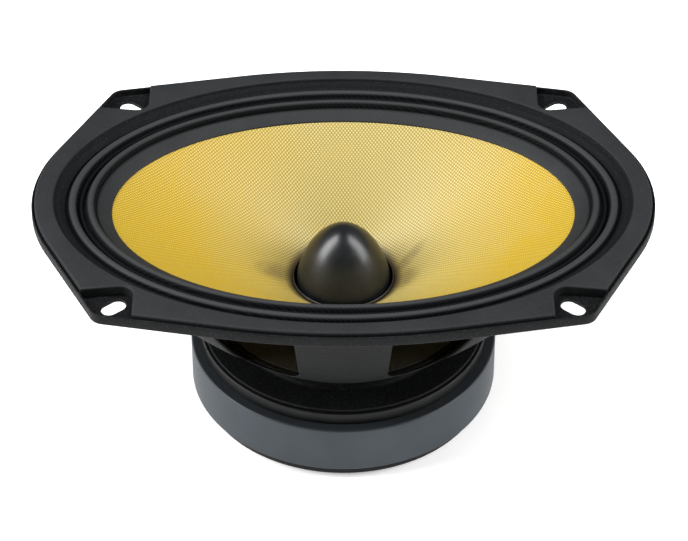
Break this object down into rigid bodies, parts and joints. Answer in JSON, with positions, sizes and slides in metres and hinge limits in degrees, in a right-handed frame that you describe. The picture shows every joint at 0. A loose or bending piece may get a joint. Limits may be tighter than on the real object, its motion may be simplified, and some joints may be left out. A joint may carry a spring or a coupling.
{
  "type": "oval car loudspeaker driver",
  "caption": "Oval 6 x 9 inch car loudspeaker: woven cone on a roll surround, fixed bullet phase plug, pressed steel basket with slotted ears, and a ferrite magnet motor.",
  "frame": {"origin": "centre of the back plate's rear face, which the speaker stands on", "axes": "+Z along the voice coil's axis, out of the front; +X along the long axis of the oval; +Y along the short axis, towards the terminals"},
  "size_m": [0.2376, 0.1648, 0.0924],
  "materials": {
    "powder_coat": "black powder coat with a fine grain",
    "gasket_rubber": "matt moulded rubber",
    "doped_cloth": "doped cloth, dull sheen on the rolls",
    "spider_cloth": "resin-treated cotton weave",
    "black_steel": "black passivated steel",
    "ferrite": "ground grey ferrite",
    "satin_black": "satin black",
    "zinc_steel": "zinc plated",
    "fibre_board": "brown fibre board",
    "rivet_aluminium": "plain",
    "tab_brass": "stamped",
    "tinsel_braid": "braided copper tinsel over cotton",
    "yellow_weave": "woven yellow glass fibre with a clear resin",
    "former_aluminium": "rolled foil",
    "copper_winding": "enamelled wire"
  },
  "bodies": {
    "frame": {"basket": "powder_coat", "front_gasket": "gasket_rubber", "surround": "doped_cloth", "spider": "spider_cloth", "top_plate": "black_steel", "magnet": "ferrite", "back_plate": "black_steel", "pole_piece": "black_steel", "phase_plug": "satin_black", "phase_plug_screw": "zinc_steel", "basket_screw_1": "zinc_steel", "basket_screw_2": "zinc_steel", "basket_screw_3": "zinc_steel", "basket_screw_4": "zinc_steel", "terminal_board": "fibre_board", "terminal_rivet_left": "rivet_aluminium", "terminal_rivet_right": "rivet_aluminium", "terminal_tab_positive": "tab_brass", "terminal_tab_negative": "tab_brass", "tinsel_lead_positive": "tinsel_braid", "tinsel_lead_negative": "tinsel_braid"},
    "cone_assembly": {"cone": "yellow_weave", "voice_coil_former": "former_aluminium", "voice_coil_winding": "copper_winding"}
  },
  "joints": [
    {"name": "cone_travel", "type": "slide", "parent": "frame", "child": "cone_assembly", "axis": [0, 0, 1], "range_m": [-0.006, 0.006], "stiffness_N_per_m": 2500, "deforming": ["surround", "spider", "tinsel_lead_positive", "tinsel_lead_negative"]}
  ]
}
